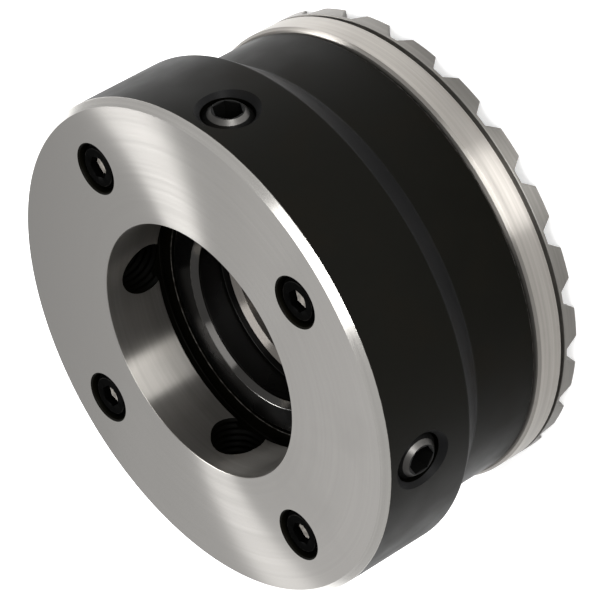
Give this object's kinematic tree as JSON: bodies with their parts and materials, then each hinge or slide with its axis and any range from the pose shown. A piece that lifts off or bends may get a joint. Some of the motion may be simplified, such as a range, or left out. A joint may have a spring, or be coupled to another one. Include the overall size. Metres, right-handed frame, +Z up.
{
  "type": "taper adapter",
  "caption": "Round flanged taper adapter with a black body, a ground front face, a stepped socket, radial adjusting screws and a toothed coupling ring behind.",
  "frame": {"origin": "on the turning axis, at the level of the coupling ring's tooth tips, on which the adapter stands", "axes": "+Z up the turning axis, out of the ground front face; +X and +Y through the face screws"},
  "size_m": [0.1, 0.1, 0.051],
  "materials": {
    "black_oxide_steel": "black oxide, satin, with a ground front face",
    "ground_steel": "turned and ground",
    "hardened_steel": "hardened, bore ground",
    "black_screw_steel": "black oxide",
    "pad_bronze": "turned",
    "seal_rubber": "smooth"
  },
  "bodies": {
    "adapter": {"adapter_body": "black_oxide_steel", "taper_sleeve": "hardened_steel", "coupling_ring": "ground_steel", "face_screw_1": "black_screw_steel", "face_screw_2": "black_screw_steel", "face_screw_3": "black_screw_steel", "face_screw_4": "black_screw_steel", "dowel_pin_1": "ground_steel", "dowel_pin_2": "ground_steel", "sleeve_pin": "ground_steel", "sleeve_seal": "seal_rubber", "joint_seal": "seal_rubber"},
    "adjuster_1": {"adjusting_screw_1": "black_screw_steel", "tip_pad_1": "pad_bronze"},
    "adjuster_2": {"adjusting_screw_2": "black_screw_steel", "tip_pad_2": "pad_bronze"},
    "adjuster_3": {"adjusting_screw_3": "black_screw_steel", "tip_pad_3": "pad_bronze"},
    "adjuster_4": {"adjusting_screw_4": "black_screw_steel", "tip_pad_4": "pad_bronze"}
  },
  "joints": [
    {"name": "adjuster_travel_1", "type": "slide", "parent": "adapter", "child": "adjuster_1", "axis": [-0.7071, -0.7071, 0], "range_m": [-0.0015, 0.008]},
    {"name": "adjuster_travel_2", "type": "slide", "parent": "adapter", "child": "adjuster_2", "axis": [0.7071, -0.7071, 0], "range_m": [-0.0015, 0.008]},
    {"name": "adjuster_travel_3", "type": "slide", "parent": "adapter", "child": "adjuster_3", "axis": [0.7071, 0.7071, 0], "range_m": [-0.0015, 0.008]},
    {"name": "adjuster_travel_4", "type": "slide", "parent": "adapter", "child": "adjuster_4", "axis": [-0.7071, 0.7071, 0], "range_m": [-0.0015, 0.008]}
  ]
}
